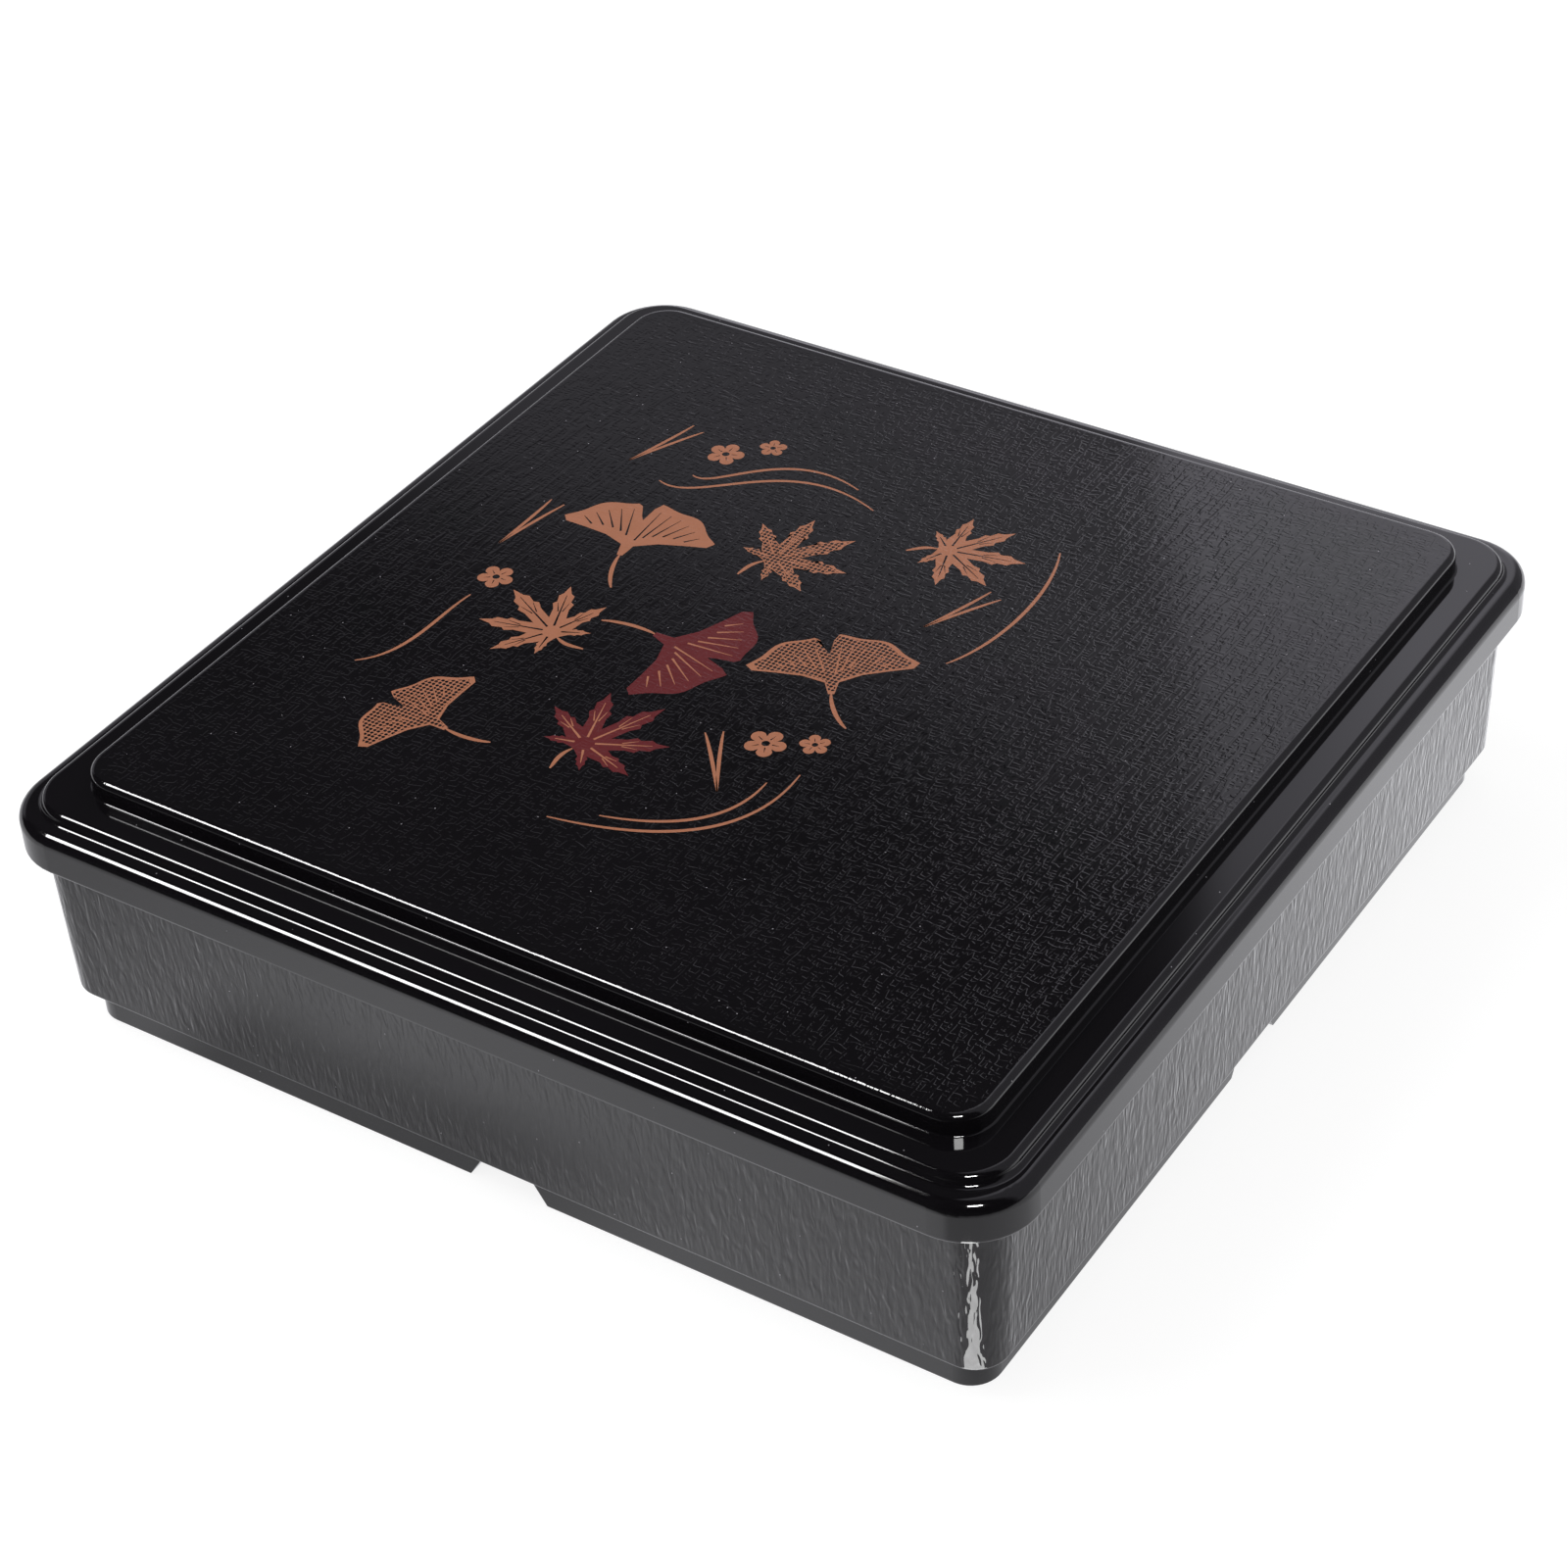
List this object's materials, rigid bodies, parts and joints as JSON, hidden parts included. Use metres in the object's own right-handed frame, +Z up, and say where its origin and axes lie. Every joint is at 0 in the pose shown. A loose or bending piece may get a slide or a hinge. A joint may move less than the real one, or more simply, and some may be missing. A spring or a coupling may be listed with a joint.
{
  "type": "bento box",
  "caption": "Square lidded lunch box on corner feet, with a lift-off lid, a cross partition and lift-out trays, in black and red moulded plastic with a lacquer look.",
  "frame": {"origin": "middle of the rectangle that the feet stand in, on the plane they stand on", "axes": "+Z up; +X and +Y square to the sides; -Y is the side that faces the camera on the left of the picture, +X the one on its right"},
  "size_m": [0.265, 0.265, 0.0704],
  "materials": {
    "body_black": "black gloss coat over moulded cloth grain outside, red gloss coat inside",
    "lid_black": "black gloss coat, cloth grain and printed leaves on the raised panel, red gloss coat inside",
    "partition_black": "black gloss coat",
    "tray_red": "red gloss coat"
  },
  "bodies": {
    "box": {"box_body": "body_black"},
    "lid": {"lid": "lid_black"},
    "divider": {"divider_long": "partition_black", "divider_cross": "partition_black"},
    "tray_front_left": {"tray_front_left": "tray_red"},
    "tray_front_right": {"tray_front_right": "tray_red"},
    "tray_back_left": {"tray_back_left": "tray_red"},
    "tray_back_right": {"tray_back_right": "tray_red"}
  },
  "joints": [
    {"name": "lid_lift", "type": "slide", "parent": "box", "child": "lid", "axis": [0, 0, 1], "range_m": [0, 0.16]},
    {"name": "divider_lift", "type": "slide", "parent": "box", "child": "divider", "axis": [0, 0, 1], "range_m": [0, 0.056]},
    {"name": "tray_front_left_lift", "type": "slide", "parent": "box", "child": "tray_front_left", "axis": [0, 0, 1], "range_m": [0, 0.104]},
    {"name": "tray_front_right_lift", "type": "slide", "parent": "box", "child": "tray_front_right", "axis": [0, 0, 1], "range_m": [0, 0.104]},
    {"name": "tray_back_left_lift", "type": "slide", "parent": "box", "child": "tray_back_left", "axis": [0, 0, 1], "range_m": [0, 0.104]},
    {"name": "tray_back_right_lift", "type": "slide", "parent": "box", "child": "tray_back_right", "axis": [0, 0, 1], "range_m": [0, 0.104]}
  ],
  "couplings": [
    {"joint": "divider_lift", "follows": "lid_lift", "ratio": 0.35},
    {"joint": "tray_front_left_lift", "follows": "lid_lift", "ratio": 0.65},
    {"joint": "tray_front_right_lift", "follows": "lid_lift", "ratio": 0.65},
    {"joint": "tray_back_left_lift", "follows": "lid_lift", "ratio": 0.65},
    {"joint": "tray_back_right_lift", "follows": "lid_lift", "ratio": 0.65}
  ]
}
